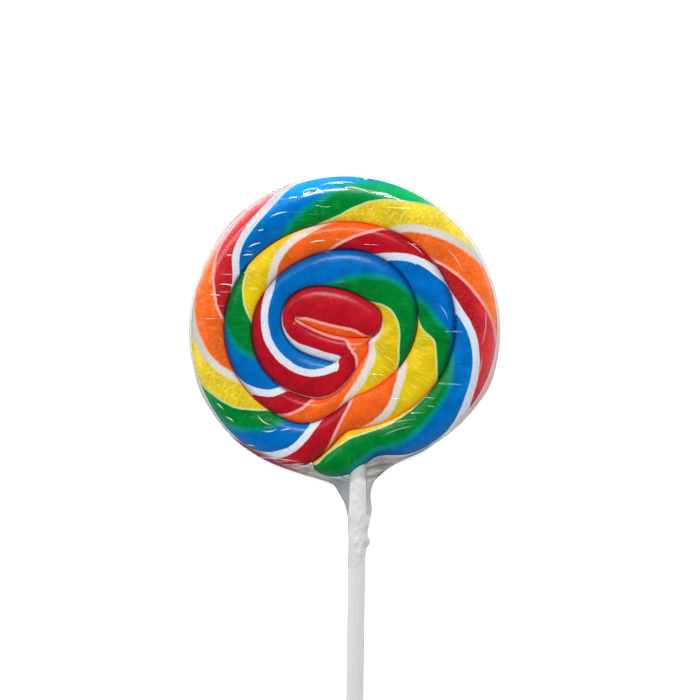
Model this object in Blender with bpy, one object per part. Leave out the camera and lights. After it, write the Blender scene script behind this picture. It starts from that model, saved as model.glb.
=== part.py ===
"""Swirl lollipop: one striped rope of boiled sugar coiled flat on a paper stick, in a clear wrapper.

The lollipop lies on its back with its face up and its stick along -Y. The origin is on the
resting plane, under the centre of the candy's round rim. Metres, +Z up.

The candy is one solid. Its relief follows a single groove, which runs clockwise from the hub to
the rim and parts the turns of the rope. Angles along the groove are in degrees, clockwise from
+Y as seen from above, and keep counting past 360 from one turn to the next.
"""

import math
from collections import namedtuple

import bmesh
import bpy
from mathutils import Vector

MM = 0.001

# ---- Driving dimensions -------------------------------------------------------------------

RIM_RADIUS = 38.1 * MM            # a three inch candy
CROWN = 4.0 * MM                  # half the candy's thickness, at the middle of the rope
GAP = 0.3 * MM                    # clearance between pieces that touch
FILM = 0.25 * MM                  # wall of the wrapper
STICK_RADIUS = 2.18 * MM          # an 11/64 inch paper stick
STICK_LENGTH = 152.0 * MM
STICK_TOP_Y = -9.0 * MM           # the stick's upper end, inside the candy
STICK_CENTRE_X = 3.3 * MM         # where the stick's axis crosses the wrapper's neck
STICK_CENTRE_Y = -40.0 * MM
STICK_LEAN = math.radians(0.83)   # the stick isn't quite square to the candy
STICK_SIDES = 24
STICK_END_EASE = 0.3 * MM         # rounding of the stick's ends
SOCKET_CUT_LENGTH = 60.0 * MM     # reaches well out of the candy's rim

MID_HEIGHT = FILM + GAP + CROWN   # level of the candy's rim and of the stick's axis

# ---- The groove between the rope's turns --------------------------------------------------

# A lap is nearly a circle. stretch is how far it stands out along its long axis, and in across it.
Lap = namedtuple("Lap", "radius centre stretch long_axis")

LAPS = (
    Lap(10.7 * MM, (-3.4 * MM, 1.4 * MM), 1.7 * MM, 104),
    Lap(19.5 * MM, (-2.4 * MM, 1.1 * MM), 1.4 * MM, 68),
    Lap(27.2 * MM, (-1.2 * MM, 0.8 * MM), 1.5 * MM, 83),
    Lap(RIM_RADIUS, (0.0, 0.0), 0.0, 0),
)
HUB = Vector((-3.6 * MM, 1.2 * MM))   # the point that the groove turns about

# The groove moves out from each lap to the next one: the angle where it starts, and how long it takes.
STEPS = ((488, 63), (877, 46), (1248, 30))

# Places where the groove or the rim bulges or is pressed in: angle, half width, height.
Bump = namedtuple("Bump", "angle width height")

BUMPS = (
    Bump(435, 14, 1.1 * MM),      # round the rope's inner end
    Bump(472, 11, -4.2 * MM),     # behind the rope's inner end
    Bump(1280, 14, -1.6 * MM),    # the rim beside the rope's tail
    Bump(1590, 35, -2.8 * MM),    # the flat bottom of the candy
    Bump(1600, 9, -3.0 * MM),     # where the stick comes out
    Bump(1630, 6, -2.5 * MM),     # the tip of the tail
)

# The groove and the rim are sampled in steps of one angle, counted from +Y.
STEP_ANGLE = 7.5
TURN = 48                         # steps in a full turn
START = 23                        # the groove's inner end
FORK = 62                         # where the crease behind the rope's inner end meets the groove
TAIL = 169                        # where the groove runs out at the rim

# The crease is the short groove between the rope's inner end and the piece that doubles back on it.
CREASE_TIP = HUB + Vector((-8.2 * MM, 1.5 * MM))
CREASE_SAG = 1.9 * MM
CREASE_STEPS = 22
LEFT_BEND = (40, 31)              # groove steps round the left hairpin, with the crease's tip inside it
RIGHT_BEND_FROM = 14              # crease step past which the rope turns about the groove's inner end

# ---- Relief across the rope ---------------------------------------------------------------

# A side of the candy: +1 is the face and -1 the back, which was pressed flatter.
Side = namedtuple("Side", "sign groove_height roundness columns")

FACE = Side(+1, 2.0 * MM, 2.2, 6)
BACK = Side(-1, 3.2 * MM, 2.8, 4)
OVER_STICK_HEIGHT = 3.2 * MM      # the grooves are shallow where the candy was pressed over the stick
OVER_STICK_WIDTH = 6.0 * MM
FADE_STEPS = 2.0                  # the groove deepens over this many steps from its inner end
OPEN_STEPS = 5                    # and opens out to the rim over this many steps
FULL_WIDTH = 6.0 * MM             # a narrower rope is also lower

# ---- The wrapper ---------------------------------------------------------------------------

WRAPPER_RADIUS = 39.0 * MM
WRAPPER_HALF_HEIGHT = CROWN + GAP + FILM
WRAPPER_EDGE = 4.2 * MM           # depth of the rounded edge
WRAPPER_ROUNDNESS = 2.8
WRAPPER_ARC_STEPS = 14            # rings of STEP_ANGLE round the arc, from the top down
WRAPPER_COLUMNS = 16              # points across each face

# Below the arc the film leaves the round and gathers to a neck: y, left, right and half height.
WRAPPER_GATHER = (
    (-15.0 * MM, -36.0 * MM, 35.6 * MM, WRAPPER_HALF_HEIGHT),
    (-20.0 * MM, -33.5 * MM, 32.6 * MM, WRAPPER_HALF_HEIGHT),
    (-25.0 * MM, -29.8 * MM, 28.4 * MM, WRAPPER_HALF_HEIGHT),
    (-29.0 * MM, -26.0 * MM, 23.4 * MM, WRAPPER_HALF_HEIGHT),
    (-32.0 * MM, -22.0 * MM, 17.2 * MM, WRAPPER_HALF_HEIGHT),
    (-34.5 * MM, -16.8 * MM, 11.6 * MM, WRAPPER_HALF_HEIGHT),
    (-36.6 * MM, -10.5 * MM, 8.8 * MM, 4.45 * MM),
    (-38.4 * MM, -4.6 * MM, 7.6 * MM, 4.2 * MM),
    (-40.6 * MM, -1.4 * MM, 7.1 * MM, 3.8 * MM),
    (-44.0 * MM, -0.2 * MM, 6.8 * MM, 3.4 * MM),
    (-49.0 * MM, 0.2 * MM, 6.4 * MM, 3.1 * MM),
    (-54.0 * MM, 0.3 * MM, 6.1 * MM, 2.95 * MM),
    (-58.0 * MM, 0.2 * MM, 5.9 * MM, 2.85 * MM),
)


def smooth_step(value):
    """Rise smoothly from 0 to 1 as value does."""
    value = min(max(value, 0.0), 1.0)
    return value * value * (3.0 - 2.0 * value)


def bell(value):
    """A soft bump: 1 at 0, dying away to both sides."""
    return math.exp(-value * value)


# ---- Plan of the coil ----------------------------------------------------------------------

def heading(angle):
    """Unit vector in the plane of the candy, clockwise from +Y."""
    radians = math.radians(angle)
    return Vector((math.sin(radians), math.cos(radians)))


def lap_reach(lap, angle):
    """Distance from the hub to one lap, in one direction."""
    direction = heading(angle)
    offset = Vector(lap.centre) - HUB
    along = offset.dot(direction)
    across = offset.cross(direction)
    round_reach = along + math.sqrt(lap.radius ** 2 - across ** 2)
    return round_reach + lap.stretch * math.cos(2 * math.radians(angle - lap.long_axis))


def groove_reach(angle):
    """Distance from the hub to the groove, and past its outer end to the rim."""
    reach = lap_reach(LAPS[0], angle)
    for lap, (start, length) in zip(LAPS[1:], STEPS):
        share = smooth_step((angle - start) / length)
        reach = reach * (1.0 - share) + lap_reach(lap, angle) * share
    for bump in BUMPS:
        reach += bump.height * bell((angle - bump.angle) / bump.width)
    return reach


def groove_point(step):
    """Point of the groove or of the rim at a whole number of steps."""
    if step == TAIL + TURN:
        step = TAIL
    angle = step * STEP_ANGLE
    return HUB + heading(angle) * groove_reach(angle)


def crease_point(step):
    """Point of the crease, from its tip at 0 to the fork at CREASE_STEPS."""
    share = step / CREASE_STEPS
    point = CREASE_TIP.lerp(groove_point(FORK), share)
    point.y -= CREASE_SAG * 4.0 * share * (1.0 - share)
    return point


def edge_point(edge):
    """Plan position of an edge of the rope, named as ("groove" or "crease", step)."""
    line, step = edge
    return groove_point(step) if line == "groove" else crease_point(step)


def rope_stations():
    """Right and left edge of the rope at each station, from its inner end to its tail.

    The rope starts as a blunt end at the fork, runs left above the crease, turns back round the
    crease's tip, runs right below the crease, turns round the groove's inner end, and then
    follows the groove outward, one turn of the groove on its right and the next on its left.
    """
    groove = [("groove", step) for step in range(TAIL + TURN + 1)]
    crease = [("crease", step) for step in range(CREASE_STEPS)] + [groove[FORK]]
    first_bend, last_bend = LEFT_BEND
    stations = []
    for step in range(CREASE_STEPS + 1):
        stations.append((groove[FORK - step], crease[CREASE_STEPS - step]))
    for step in range(first_bend - 1, last_bend - 1, -1):
        stations.append((groove[step], crease[0]))
    left_edges = crease[1:] + groove[FORK + 1:START + TURN]
    for count, left in enumerate(left_edges, start=1):
        share = min(1.0, count / RIGHT_BEND_FROM)
        stations.append((groove[last_bend - round((last_bend - START) * share)], left))
    for step in range(START, TAIL):
        stations.append((groove[step], groove[step + TURN]))
    stations.append((groove[TAIL], groove[TAIL]))
    return stations


# ---- Relief of the candy -------------------------------------------------------------------

def stick_x(y):
    """Where the stick's axis is, at one distance along it."""
    return STICK_CENTRE_X + (y - STICK_CENTRE_Y) * math.tan(STICK_LEAN)


def over_stick(point):
    """1 above the stick's hidden end, falling to 0 beside it."""
    sideways = bell((point.x - stick_x(point.y)) / OVER_STICK_WIDTH)
    beyond_end = smooth_step((point.y - STICK_TOP_Y) / OVER_STICK_WIDTH)
    return sideways * (1.0 - beyond_end)


def edge_height(side, edge):
    """Height of an edge of the rope above the candy's middle plane: 0 at the rim."""
    line, step = edge
    if line == "groove" and step >= TAIL:
        return 0.0
    point = edge_point(edge)
    height = side.groove_height
    height += (OVER_STICK_HEIGHT - height) * over_stick(point)
    from_tip = step - START if line == "groove" else step
    height += (BACK.groove_height - height) * bell(from_tip / FADE_STEPS)
    if line == "groove":
        height *= 1.0 - smooth_step((step - (TAIL - OPEN_STEPS)) / OPEN_STEPS)
    return height


def column_places(side):
    """Places across the rope from -1 at its right edge to +1 at its left, closer at the edges."""
    return [-math.cos(math.pi * column / side.columns) for column in range(side.columns + 1)]


def rope_height(side, place, edge_level, width):
    """Height of the rope's surface above the candy's middle plane, at one place across it."""
    crown = edge_level + (CROWN - edge_level) * min(1.0, math.sqrt(width / FULL_WIDTH))
    bulge = (1.0 - abs(place) ** side.roundness) ** (1.0 / side.roundness)
    return edge_level + (crown - edge_level) * bulge


class CandyMesh:
    """Builds the candy's two sides, which share the vertices of the rim."""

    def __init__(self):
        self.mesh = bmesh.new()
        self.edge_verts = {}

    def add_vert(self, side, point, height):
        return self.mesh.verts.new((point.x, point.y, MID_HEIGHT + side.sign * height))

    def edge_vert(self, side, edge):
        """The vertex on an edge of the rope, made once and shared by the turns beside it."""
        line, step = edge
        on_rim = line == "groove" and step >= TAIL
        if on_rim and step == TAIL + TURN:
            edge = ("groove", TAIL)
        key = (edge, 0 if on_rim else side.sign)
        if key not in self.edge_verts:
            point = edge_point(edge)
            self.edge_verts[key] = self.add_vert(side, point, edge_height(side, edge))
        return self.edge_verts[key]

    def station_row(self, side, station):
        """Vertices across the rope, from its right edge to its left."""
        right, left = station
        places = column_places(side)
        first = self.edge_vert(side, right)
        last = self.edge_vert(side, left)
        if first is last:
            return [first] * len(places)
        right_point = edge_point(right)
        left_point = edge_point(left)
        width = (left_point - right_point).length
        row = [first]
        for place in places[1:-1]:
            level = edge_height(side, right if place < 0.0 else left)
            point = right_point.lerp(left_point, (place + 1.0) / 2.0)
            row.append(self.add_vert(side, point, rope_height(side, place, level, width)))
        return row + [last]

    def add_face(self, corners):
        """Add a face, leaving out repeated corners where the rope narrows to a point."""
        distinct = []
        for corner in corners:
            if corner not in distinct:
                distinct.append(corner)
        if len(distinct) > 2:
            self.mesh.faces.new(distinct)

    def add_side(self, side):
        rows = [self.station_row(side, station) for station in rope_stations()]
        for row, next_row in zip(rows, rows[1:]):
            for column in range(side.columns):
                corners = [row[column], next_row[column], next_row[column + 1], row[column + 1]]
                self.add_face(corners)

    def finish(self, name):
        bmesh.ops.triangulate(self.mesh, faces=self.mesh.faces)
        bmesh.ops.recalc_face_normals(self.mesh, faces=self.mesh.faces)
        data = bpy.data.meshes.new(name)
        self.mesh.to_mesh(data)
        self.mesh.free()
        return data


# ---- Objects -------------------------------------------------------------------------------

def make_material(name, colour, roughness, alpha=1.0):
    """A plain Principled material."""
    material = bpy.data.materials.new(name)
    material.use_nodes = True
    shader = material.node_tree.nodes["Principled BSDF"]
    shader.inputs["Base Color"].default_value = (*colour, 1.0)
    shader.inputs["Roughness"].default_value = roughness
    shader.inputs["Metallic"].default_value = 0.0
    shader.inputs["Alpha"].default_value = alpha
    return material


def add_object(name, data, material=None, sharp_angle=None):
    """Link a mesh to the scene, smooth but for edges sharper than sharp_angle."""
    obj = bpy.data.objects.new(name, data)
    bpy.context.scene.collection.objects.link(obj)
    if material:
        data.materials.append(material)
    if sharp_angle:
        data.shade_smooth()
        data.set_sharp_from_angle(angle=math.radians(sharp_angle))
    return obj


def rod_mesh(name, radius, length, bevel=0.0):
    """A round rod along -Y from the origin, with both ends eased by bevel."""
    mesh = bmesh.new()
    bmesh.ops.create_cone(
        mesh, cap_ends=True, segments=STICK_SIDES, radius1=radius, radius2=radius, depth=length)
    if bevel:
        ends = [edge for edge in mesh.edges if len(edge.link_faces) == 2
                and any(len(face.verts) > 4 for face in edge.link_faces)]
        bmesh.ops.bevel(mesh, geom=ends, offset=bevel, segments=2, affect="EDGES", profile=0.5)
    for vert in mesh.verts:
        x, y, z = vert.co
        vert.co = (x, z - length / 2.0, -y)
    bmesh.ops.recalc_face_normals(mesh, faces=mesh.faces)
    data = bpy.data.meshes.new(name)
    mesh.to_mesh(data)
    mesh.free()
    return data


def place_on_stick_axis(obj, top_y):
    """Put a rod's upper end on the stick's axis and lean it the same way."""
    obj.location = (stick_x(top_y), top_y, MID_HEIGHT)
    obj.rotation_euler = (0.0, 0.0, -STICK_LEAN)


def make_stick():
    material = make_material("stick_paper", (0.86, 0.86, 0.85), 0.7)
    data = rod_mesh("stick", STICK_RADIUS, STICK_LENGTH, bevel=STICK_END_EASE)
    place_on_stick_axis(add_object("stick", data, material, sharp_angle=40), STICK_TOP_Y)


def make_socket_cutter():
    """The blind hole that the stick fills, open at the rim."""
    data = rod_mesh("socket_cutter", STICK_RADIUS + GAP, SOCKET_CUT_LENGTH)
    cutter = add_object("socket_cutter", data)
    place_on_stick_axis(cutter, STICK_TOP_Y + GAP)
    cutter.hide_render = True
    cutter.display_type = "WIRE"
    return cutter


def make_candy():
    builder = CandyMesh()
    builder.add_side(FACE)
    builder.add_side(BACK)
    material = make_material("candy_sugar", (0.78, 0.06, 0.08), 0.25)
    candy = add_object("candy", builder.finish("candy"), material, sharp_angle=50)
    socket = candy.modifiers.new("socket", "BOOLEAN")
    socket.operation = "DIFFERENCE"
    socket.solver = "EXACT"
    socket.object = make_socket_cutter()


def rounded_edge(distance, depth):
    """Share of the full height at a distance in from a rounded edge."""
    if distance >= depth:
        return 1.0
    inward = 1.0 - max(distance, 0.0) / depth
    return (1.0 - inward ** WRAPPER_ROUNDNESS) ** (1.0 / WRAPPER_ROUNDNESS)


def wrapper_sections(inset):
    """Left, right, half height and edge depth at each y, for the skin that lies inset into the film."""
    radius = WRAPPER_RADIUS - inset
    sections = []
    for count in range(1, WRAPPER_ARC_STEPS + 1):
        arc = math.radians(count * STEP_ANGLE)
        y = radius * math.cos(arc)
        half = radius * math.sin(arc)
        height = (WRAPPER_HALF_HEIGHT - inset) * rounded_edge(radius - y, WRAPPER_EDGE)
        sections.append((y, -half, half, height, WRAPPER_EDGE / math.sin(arc)))
    for y, left, right, height in WRAPPER_GATHER:
        sections.append((y, left + inset, right - inset, height - inset, WRAPPER_EDGE))
    return sections


def wrapper_ring(mesh, section):
    """A flattened loop round the wrapper: over the face from left to right and back underneath."""
    y, left, right, height, edge_depth = section
    half = (right - left) / 2.0
    depth = min(edge_depth, half)
    ring = []
    for count in range(2 * WRAPPER_COLUMNS):
        turn = math.pi * count / WRAPPER_COLUMNS
        offset = -half * math.cos(turn)
        share = rounded_edge(half - abs(offset), depth) if count % WRAPPER_COLUMNS else 0.0
        up = 1.0 if count <= WRAPPER_COLUMNS else -1.0
        x = (left + right) / 2.0 + offset
        ring.append(mesh.verts.new((x, y, MID_HEIGHT + up * height * share)))
    return ring


def join_rings(mesh, ring, next_ring):
    for index, corner in enumerate(ring):
        after = (index + 1) % len(ring)
        mesh.faces.new((corner, ring[after], next_ring[after], next_ring[index]))


def wrapper_skin(mesh, inset):
    """One side of the film, closed at the top and open at the neck. Returns the ring at the neck."""
    top = mesh.verts.new((0.0, WRAPPER_RADIUS - inset, MID_HEIGHT))
    rings = [wrapper_ring(mesh, section) for section in wrapper_sections(inset)]
    for index, corner in enumerate(rings[0]):
        mesh.faces.new((top, corner, rings[0][(index + 1) % len(rings[0])]))
    for ring, next_ring in zip(rings, rings[1:]):
        join_rings(mesh, ring, next_ring)
    return rings[-1]


def make_wrapper():
    """A thin bag, drawn tight over the candy and open round the stick at its neck."""
    mesh = bmesh.new()
    outer_neck = wrapper_skin(mesh, 0.0)
    inner_neck = wrapper_skin(mesh, FILM)
    join_rings(mesh, outer_neck, inner_neck)
    bmesh.ops.triangulate(mesh, faces=mesh.faces)
    bmesh.ops.recalc_face_normals(mesh, faces=mesh.faces)
    data = bpy.data.meshes.new("wrapper")
    mesh.to_mesh(data)
    mesh.free()
    material = make_material("clear_film", (0.95, 0.96, 0.97), 0.1, alpha=0.2)
    add_object("wrapper", data, material, sharp_angle=60)


def clear_scene():
    for obj in list(bpy.data.objects):
        bpy.data.objects.remove(obj, do_unlink=True)


clear_scene()
make_candy()
make_stick()
make_wrapper()
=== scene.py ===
"""Looks of the swirl lollipop: striped candy rope, rolled paper stick and clear film wrapper.

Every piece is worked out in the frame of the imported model: metres, +Z up, the candy's face up
and the stick along -Y. The candy's relief and its stripes both follow the rope, so a place on
the candy is named by the distance along the rope's middle line and the share across it.
"""

import math
from collections import namedtuple

import bpy
import numpy as np
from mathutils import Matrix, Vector, noise
from mathutils.bvhtree import BVHTree


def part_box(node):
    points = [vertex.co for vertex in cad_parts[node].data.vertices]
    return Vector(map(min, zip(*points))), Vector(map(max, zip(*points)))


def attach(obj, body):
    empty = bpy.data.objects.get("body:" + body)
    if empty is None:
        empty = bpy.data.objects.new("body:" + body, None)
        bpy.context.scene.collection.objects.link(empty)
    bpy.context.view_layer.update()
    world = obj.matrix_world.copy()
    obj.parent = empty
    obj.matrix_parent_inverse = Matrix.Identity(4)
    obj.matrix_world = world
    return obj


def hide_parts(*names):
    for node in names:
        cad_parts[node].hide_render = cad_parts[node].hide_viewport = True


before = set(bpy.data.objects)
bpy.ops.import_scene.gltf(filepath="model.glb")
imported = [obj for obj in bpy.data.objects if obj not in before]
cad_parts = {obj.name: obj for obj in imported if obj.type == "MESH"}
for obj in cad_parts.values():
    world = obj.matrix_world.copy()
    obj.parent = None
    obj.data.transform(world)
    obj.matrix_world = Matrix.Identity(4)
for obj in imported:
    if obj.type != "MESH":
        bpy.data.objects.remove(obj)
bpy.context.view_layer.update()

MM = 0.001

# ---- Sizes read from the frame ----

CANDY_LOW, CANDY_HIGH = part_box("candy")
STICK_LOW, STICK_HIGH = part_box("stick")
WRAPPER_LOW, WRAPPER_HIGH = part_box("wrapper")

FLOOR_LEVEL = WRAPPER_LOW.z
MID_HEIGHT = (WRAPPER_LOW.z + WRAPPER_HIGH.z) / 2.0  # level of the rim and of the stick's axis
CROWN = (CANDY_HIGH.z - CANDY_LOW.z) / 2.0  # half the candy's thickness
RIM_RADIUS = CANDY_HIGH.y
STICK_RADIUS = (STICK_HIGH.z - STICK_LOW.z) / 2.0

# ---- Plan of the coil ----

# The construction model's plan. Only the notch behind the rope's inner end is less deep here.
Lap = namedtuple("Lap", "radius centre stretch long_axis")
Bump = namedtuple("Bump", "angle width height")

LAPS = (
    Lap(10.7 * MM, (-3.4 * MM, 1.4 * MM), 1.7 * MM, 104),
    Lap(19.5 * MM, (-2.4 * MM, 1.1 * MM), 1.4 * MM, 68),
    Lap(27.2 * MM, (-1.2 * MM, 0.8 * MM), 1.5 * MM, 83),
    Lap(RIM_RADIUS, (0.0, 0.0), 0.0, 0),
)
HUB = Vector((-3.6 * MM, 1.2 * MM))  # the point that the groove turns about
STEPS = ((488, 63), (877, 46), (1248, 30))  # angles where it moves out a lap, and how long for
BUMPS = (
    Bump(435, 14, 1.1 * MM),  # round the rope's inner end
    Bump(472, 11, -2.2 * MM),  # behind the rope's inner end
    Bump(1280, 14, -1.6 * MM),  # the rim beside the rope's tail
    Bump(1590, 35, -2.8 * MM),  # the flat bottom of the candy
    Bump(1600, 9, -3.0 * MM),  # where the stick comes out
    Bump(1630, 6, -2.5 * MM),  # the tip of the tail
)

DETAIL = 6  # steps here for each step of the construction model
STEP_ANGLE = 7.5 / DETAIL
TURN = 48 * DETAIL  # steps in a full turn
START = 23 * DETAIL  # the groove's inner end
FORK = 62 * DETAIL  # where the crease behind the rope's inner end meets the groove
TAIL = 169 * DETAIL  # where the groove runs out at the rim
CREASE_TIP = HUB + Vector((-8.2 * MM, 1.5 * MM))
CREASE_SAG = 1.9 * MM
CREASE_STEPS = 22 * DETAIL
LEFT_BEND = (40 * DETAIL, 31 * DETAIL)  # groove steps round the left hairpin
RIGHT_BEND_FROM = 14 * DETAIL  # crease step past which the right hairpin begins

# ---- Relief across the rope ----

# A side of the candy: +1 is the face and -1 the back, which is flatter.
Side = namedtuple("Side", "sign groove_height roundness columns")

FACE = Side(+1, 2.0 * MM, 2.1, 28)
BACK = Side(-1, 2.6 * MM, 2.8, 16)
OVER_STICK_HEIGHT = 3.0 * MM  # the grooves are shallow where the candy was pressed over the stick
OVER_STICK_WIDTH = 6.0 * MM
FADE_STEPS = 2.0 * DETAIL  # the groove deepens over this many steps from its inner end
OPEN_STEPS = 5 * DETAIL  # and opens out to the rim over this many steps
FULL_WIDTH = 6.0 * MM  # a narrower rope is also lower

# ---- Stripes ----

# The rope is twisted, so its five colours pass over the face one after another. Going along the
# rope, each border between two colours has a number, and stripe n lies between borders n and
# n + 1. Every border crosses the rope aslant. A row, from border 1 on, is the distance along the
# rope, in millimetres, where it passes the rope's right edge, its middle and its left edge.
COLOURS = 5  # blue, green, yellow, orange, red, and blue again
BORDERS = (
    (98, 111, 123), (117, 127.5, 137), (128, 144, 150), (158.5, 161.5, 166), (168, 170.5, 176),
    (179.5, 183.5, 191), (190, 196, 205), (203, 210, 222), (223, 230, 236), (238, 244, 253),
    (254, 261.5, 269), (260.5, 267, 276), (275, 284, 293), (294.5, 299, 304), (307, 311.5, 318),
    (317, 321.5, 331), (322, 330, 340), (335.5, 343, 355), (353, 361, 380), (364, 373.3, 390.2),
    (384.5, 396, 414.5), (395, 409.5, 424), (418, 427, 439), (431.5, 443.5, 458), (445, 458, 477),
    (461, 482, 508),
)
# Before and after them the stripes bend with the rope's ends: distance and stripe number.
RIGHT_START = (
    (0, -0.35), (20, -0.2), (27, -0.05), (31, 0.2), (37, 0.38), (43.4, 0.35), (46, 0.08),
    (49, 0.05), (53, 0.2), (62, 0.5), (80, 0.75),
)
RIGHT_END = ((474, 27), (500, 27.32), (509, 27.05), (512, 27.3))
MIDDLE_START = (
    (0, -0.6), (33, -0.45), (40, -0.5), (41.9, -0.55), (43.3, -0.8), (44.8, -1), (45.6, -0.99),
    (47, -0.87), (48.6, -0.65), (50.2, -0.53), (56, -0.3), (62, -0.12), (74, 0),
)
MIDDLE_END = ((503, 26.6), (509, 26.75), (512, 27))
LEFT_START = (
    (0, -1.1), (8, -1.5), (20, -1.5), (24, -1.1), (41.5, -1.1), (44.1, -1.6), (47, -1.6),
    (48.6, -1.3), (50.2, -1), (56, -1.1), (62, -1.05), (80, -0.4), (88, 0),
)
LEFT_END = ((512, 26.4),)
BACK_TWIST = 1.4  # stripes that the back shows across the rope
WIND = 0.3  # how much the borders curve as they go over the rope's sides
EDGE_REACH = 30.0  # an edge distance that stands for no groove near, in mm
NEAR_SIDE = 2.5  # how much sooner a groove's shade ends on its outer side


def smooth_step(value):
    """Rise smoothly from 0 to 1 as value does. It can be an array."""
    value = np.clip(value, 0.0, 1.0)
    return value * value * (3.0 - 2.0 * value)


def bell(value):
    """A soft bump: 1 at 0, dying away to both sides."""
    return math.exp(-value * value)


# ---- The coil's lines ----

def heading(angle):
    """Unit vector in the plane of the candy, clockwise from +Y."""
    radians = math.radians(angle)
    return Vector((math.sin(radians), math.cos(radians)))


def lap_reach(lap, angle):
    """Distance from the hub to one lap, in one direction."""
    direction = heading(angle)
    offset = Vector(lap.centre) - HUB
    along = offset.dot(direction)
    across = offset.cross(direction)
    round_reach = along + math.sqrt(lap.radius ** 2 - across ** 2)
    return round_reach + lap.stretch * math.cos(2 * math.radians(angle - lap.long_axis))


def groove_reach(angle):
    """Distance from the hub to the groove, and past its outer end to the rim."""
    reach = lap_reach(LAPS[0], angle)
    for lap, (start, length) in zip(LAPS[1:], STEPS):
        share = smooth_step((angle - start) / length)
        reach = reach * (1.0 - share) + lap_reach(lap, angle) * share
    for bump in BUMPS:
        reach += bump.height * bell((angle - bump.angle) / bump.width)
    return reach


def groove_point(step):
    """Point of the groove or of the rim at a whole number of steps."""
    if step == TAIL + TURN:
        step = TAIL
    angle = step * STEP_ANGLE
    return HUB + heading(angle) * groove_reach(angle)


def crease_point(step):
    """Point of the crease, from its tip at 0 to the fork at CREASE_STEPS."""
    share = step / CREASE_STEPS
    point = CREASE_TIP.lerp(groove_point(FORK), share)
    point.y -= CREASE_SAG * 4.0 * share * (1.0 - share)
    return point


def edge_point(edge):
    """Plan position of an edge of the rope, named as ("groove" or "crease", step)."""
    line, step = edge
    return groove_point(step) if line == "groove" else crease_point(step)


def on_rim(edge):
    line, step = edge
    return line == "groove" and step >= TAIL


def rope_stations():
    """Right and left edge of the rope at each station, from its inner end to its tail."""
    groove = [("groove", step) for step in range(TAIL + TURN + 1)]
    crease = [("crease", step) for step in range(CREASE_STEPS)] + [groove[FORK]]
    first_bend, last_bend = LEFT_BEND
    stations = []
    for step in range(CREASE_STEPS + 1):
        stations.append((groove[FORK - step], crease[CREASE_STEPS - step]))
    for step in range(first_bend - 1, last_bend - 1, -1):
        stations.append((groove[step], crease[0]))
    left_edges = crease[1:] + groove[FORK + 1:START + TURN]
    for count, left in enumerate(left_edges, start=1):
        share = min(1.0, count / RIGHT_BEND_FROM)
        stations.append((groove[last_bend - round((last_bend - START) * share)], left))
    for step in range(START, TAIL):
        stations.append((groove[step], groove[step + TURN]))
    stations.append((groove[TAIL], groove[TAIL]))
    return stations


# ---- Relief of the candy ----

def stick_x(y):
    """Where the stick's axis is, at one distance along it."""
    top = STICK_HIGH.x - STICK_RADIUS
    bottom = STICK_LOW.x + STICK_RADIUS
    return bottom + (top - bottom) * (y - STICK_LOW.y) / (STICK_HIGH.y - STICK_LOW.y)


def over_stick(point):
    """1 above the stick's hidden end, falling to 0 beside it."""
    sideways = bell((point.x - stick_x(point.y)) / OVER_STICK_WIDTH)
    beyond_end = smooth_step((point.y - STICK_HIGH.y) / OVER_STICK_WIDTH)
    return sideways * (1.0 - beyond_end)


def edge_height(side, edge):
    """Height of an edge of the rope above the candy's middle plane: 0 at the rim."""
    if on_rim(edge):
        return 0.0
    line, step = edge
    point = edge_point(edge)
    height = side.groove_height
    height += (OVER_STICK_HEIGHT - height) * over_stick(point)
    from_tip = step - START if line == "groove" else step
    height += (BACK.groove_height - height) * bell(from_tip / FADE_STEPS)
    if line == "groove":
        height *= 1.0 - smooth_step((step - (TAIL - OPEN_STEPS)) / OPEN_STEPS)
    return height


def column_shares(side):
    """Shares across the rope from 0 at its right edge to 1 at its left, closer at the edges."""
    return [(1.0 - math.cos(math.pi * column / side.columns)) / 2.0 for column in range(side.columns + 1)]


def rope_height(side, share, edge_level, width):
    """Height of the rope's surface above the candy's middle plane, at one share across it."""
    crown = edge_level + (CROWN - edge_level) * min(1.0, math.sqrt(width / FULL_WIDTH))
    bulge = (1.0 - abs(2.0 * share - 1.0) ** side.roundness) ** (1.0 / side.roundness)
    return edge_level + (crown - edge_level) * bulge


# ---- Stripes over the rope ----

def smooth_track(points, places):
    """Values at places of a smooth curve through points that never overshoots them."""
    xs, ys = np.array(points, float).T
    gaps = np.diff(xs)
    slopes = np.diff(ys) / gaps
    tangents = np.zeros_like(xs)
    product = slopes[:-1] * slopes[1:]
    rising = product > 0.0
    tangents[1:-1][rising] = 2.0 * product[rising] / (slopes[:-1] + slopes[1:])[rising]
    index = np.clip(np.searchsorted(xs, places, side="right") - 1, 0, len(gaps) - 1)
    gap = gaps[index]
    t = np.clip((places - xs[index]) / gap, 0.0, 1.0)
    start = (1.0 + 2.0 * t) * (1.0 - t) ** 2 * ys[index]
    start_slope = t * (1.0 - t) ** 2 * gap * tangents[index]
    end = t ** 2 * (3.0 - 2.0 * t) * ys[index + 1]
    end_slope = t ** 2 * (t - 1.0) * gap * tangents[index + 1]
    return start + start_slope + end + end_slope


def stripe_track(start, column, end, along):
    """Stripe numbers along one edge or the middle of the rope."""
    passes = tuple((places[column], number) for number, places in enumerate(BORDERS, start=1))
    return smooth_track(start + passes + end, along)[:, None]


def stripe_field(side, along, shares):
    """Stripe number at each station and share across the rope, as an array."""
    right = stripe_track(RIGHT_START, 0, RIGHT_END, along)
    middle = stripe_track(MIDDLE_START, 1, MIDDLE_END, along)
    left = stripe_track(LEFT_START, 2, LEFT_END, along)
    shares = np.array(shares)
    u = (shares + WIND * (np.arccos(1.0 - 2.0 * shares) / math.pi - shares))[None, :]
    if side.sign < 0:
        return left - BACK_TWIST * (1.0 - u)
    return right * (1 - u) * (1 - 2 * u) + middle * 4 * u * (1 - u) + left * u * (2 * u - 1)


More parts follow.
